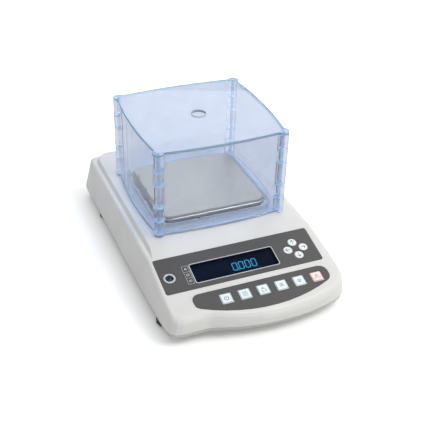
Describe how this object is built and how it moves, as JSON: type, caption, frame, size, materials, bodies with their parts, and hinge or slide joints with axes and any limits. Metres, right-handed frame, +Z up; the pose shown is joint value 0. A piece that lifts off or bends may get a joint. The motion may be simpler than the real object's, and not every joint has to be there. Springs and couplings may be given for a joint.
{
  "type": "precision balance",
  "caption": "Top-loading precision balance: moulded housing with sloped display and key panel, square steel plate, clear draft shield with lift-off lid, levelling feet.",
  "frame": {"origin": "on the table, under the middle of the bounding box", "axes": "+X to the right of someone facing the display, +Y from the display to the rear, +Z up"},
  "size_m": [0.21, 0.335, 0.16],
  "materials": {
    "housing_top": "fine satin moulded plastic, warm light grey",
    "housing_base": "fine satin moulded plastic, warm light grey",
    "overlay_film": "printed dark grey film, slight sheen",
    "window_pane": "clear dark tinted pane",
    "display_body": "dark display face",
    "circuit_board": "green laminate",
    "level_metal": "turned metal ring",
    "level_glass": "clear vial",
    "key_pale": "smooth pale key",
    "key_pink": "smooth pale pink key",
    "plate_steel": "finely brushed stainless steel",
    "carrier_black": "black coated casting",
    "buffer_rubber": "soft black rubber",
    "post_steel": "turned steel",
    "cell_alloy": "milled alloy",
    "cell_casting": "cast alloy",
    "screw_steel": "zinc plated steel",
    "foot_black": "black moulded plastic",
    "pad_rubber": "black rubber",
    "shield_clear": "clear polished plastic with a blue tint",
    "socket_black": "black socket body",
    "socket_metal": "pressed metal shell"
  },
  "bodies": {
    "housing": {"cell_adapter": "cell_casting", "cell_mount": "cell_casting", "cell_screw_front": "screw_steel", "cell_screw_rear": "screw_steel", "display_board": "circuit_board", "display_module": "display_body", "display_overlay": "overlay_film", "display_window": "window_pane", "housing_screw_1": "screw_steel", "housing_screw_2": "screw_steel", "housing_screw_3": "screw_steel", "housing_screw_4": "screw_steel", "io_board": "circuit_board", "keypad_board": "circuit_board", "keypad_overlay": "overlay_film", "level_cup": "level_metal", "level_vial": "level_glass", "load_cell": "cell_alloy", "lower_housing": "housing_base", "main_board": "circuit_board", "overload_stop": "screw_steel", "pan_buffer_1": "buffer_rubber", "pan_buffer_2": "buffer_rubber", "pan_buffer_3": "buffer_rubber", "pan_buffer_4": "buffer_rubber", "pan_carrier": "carrier_black", "pan_post": "post_steel", "power_socket": "socket_black", "serial_socket": "socket_metal", "upper_housing": "housing_top"},
    "shield": {"shield_base_frame": "shield_clear", "shield_panel_front": "shield_clear", "shield_panel_back": "shield_clear", "shield_panel_left": "shield_clear", "shield_panel_right": "shield_clear", "corner_pin_front_left": "shield_clear", "corner_pin_front_right": "shield_clear", "corner_pin_rear_left": "shield_clear", "corner_pin_rear_right": "shield_clear"},
    "lid": {"shield_lid": "shield_clear"},
    "plate": {"weighing_plate": "plate_steel"},
    "key_1_body": {"key_1": "key_pale"},
    "key_2_body": {"key_2": "key_pale"},
    "key_3_body": {"key_3": "key_pale"},
    "key_4_body": {"key_4": "key_pale"},
    "key_5_body": {"key_5": "key_pale"},
    "key_6_body": {"key_6": "key_pink"},
    "arrow_key_up_body": {"arrow_key_up": "key_pale"},
    "arrow_key_down_body": {"arrow_key_down": "key_pale"},
    "arrow_key_left_body": {"arrow_key_left": "key_pale"},
    "arrow_key_right_body": {"arrow_key_right": "key_pale"},
    "foot_front_left_body": {"foot_front_left": "foot_black", "foot_pad_front_left": "pad_rubber"},
    "foot_front_right_body": {"foot_front_right": "foot_black", "foot_pad_front_right": "pad_rubber"},
    "foot_rear_left_body": {"foot_rear_left": "foot_black", "foot_pad_rear_left": "pad_rubber"},
    "foot_rear_right_body": {"foot_rear_right": "foot_black", "foot_pad_rear_right": "pad_rubber"}
  },
  "joints": [
    {"name": "shield_lift", "type": "slide", "parent": "housing", "child": "shield", "axis": [0, 0, 1], "range_m": [0, 0.11]},
    {"name": "lid_lift", "type": "slide", "parent": "shield", "child": "lid", "axis": [0, 0, 1], "range_m": [0, 0.05]},
    {"name": "plate_lift", "type": "slide", "parent": "housing", "child": "plate", "axis": [0, 0, 1], "range_m": [0, 0.08]},
    {"name": "key_1_press", "type": "slide", "parent": "housing", "child": "key_1_body", "axis": [0, 0.2318, -0.9728], "range_m": [0, 0.0005], "stiffness_N_per_m": 1000},
    {"name": "key_2_press", "type": "slide", "parent": "housing", "child": "key_2_body", "axis": [0, 0.2318, -0.9728], "range_m": [0, 0.0005], "stiffness_N_per_m": 1000},
    {"name": "key_3_press", "type": "slide", "parent": "housing", "child": "key_3_body", "axis": [0, 0.2318, -0.9728], "range_m": [0, 0.0005], "stiffness_N_per_m": 1000},
    {"name": "key_4_press", "type": "slide", "parent": "housing", "child": "key_4_body", "axis": [0, 0.2318, -0.9728], "range_m": [0, 0.0005], "stiffness_N_per_m": 1000},
    {"name": "key_5_press", "type": "slide", "parent": "housing", "child": "key_5_body", "axis": [0, 0.2318, -0.9728], "range_m": [0, 0.0005], "stiffness_N_per_m": 1000},
    {"name": "key_6_press", "type": "slide", "parent": "housing", "child": "key_6_body", "axis": [0, 0.2318, -0.9728], "range_m": [0, 0.0005], "stiffness_N_per_m": 1000},
    {"name": "arrow_key_up_press", "type": "slide", "parent": "housing", "child": "arrow_key_up_body", "axis": [0, 0.2318, -0.9728], "range_m": [0, 0.0005], "stiffness_N_per_m": 1000},
    {"name": "arrow_key_down_press", "type": "slide", "parent": "housing", "child": "arrow_key_down_body", "axis": [0, 0.2318, -0.9728], "range_m": [0, 0.0005], "stiffness_N_per_m": 1000},
    {"name": "arrow_key_left_press", "type": "slide", "parent": "housing", "child": "arrow_key_left_body", "axis": [0, 0.2318, -0.9728], "range_m": [0, 0.0005], "stiffness_N_per_m": 1000},
    {"name": "arrow_key_right_press", "type": "slide", "parent": "housing", "child": "arrow_key_right_body", "axis": [0, 0.2318, -0.9728], "range_m": [0, 0.0005], "stiffness_N_per_m": 1000},
    {"name": "foot_front_left_turn", "type": "hinge", "parent": "housing", "child": "foot_front_left_body", "pos_m": [-0.0915, -0.112, 0.004], "axis": [0, 0, 1], "continuous": true},
    {"name": "foot_front_right_turn", "type": "hinge", "parent": "housing", "child": "foot_front_right_body", "pos_m": [0.0915, -0.112, 0.004], "axis": [0, 0, 1], "continuous": true},
    {"name": "foot_rear_left_turn", "type": "hinge", "parent": "housing", "child": "foot_rear_left_body", "pos_m": [-0.0915, 0.102, 0.004], "axis": [0, 0, 1], "continuous": true},
    {"name": "foot_rear_right_turn", "type": "hinge", "parent": "housing", "child": "foot_rear_right_body", "pos_m": [0.0915, 0.102, 0.004], "axis": [0, 0, 1], "continuous": true}
  ]
}
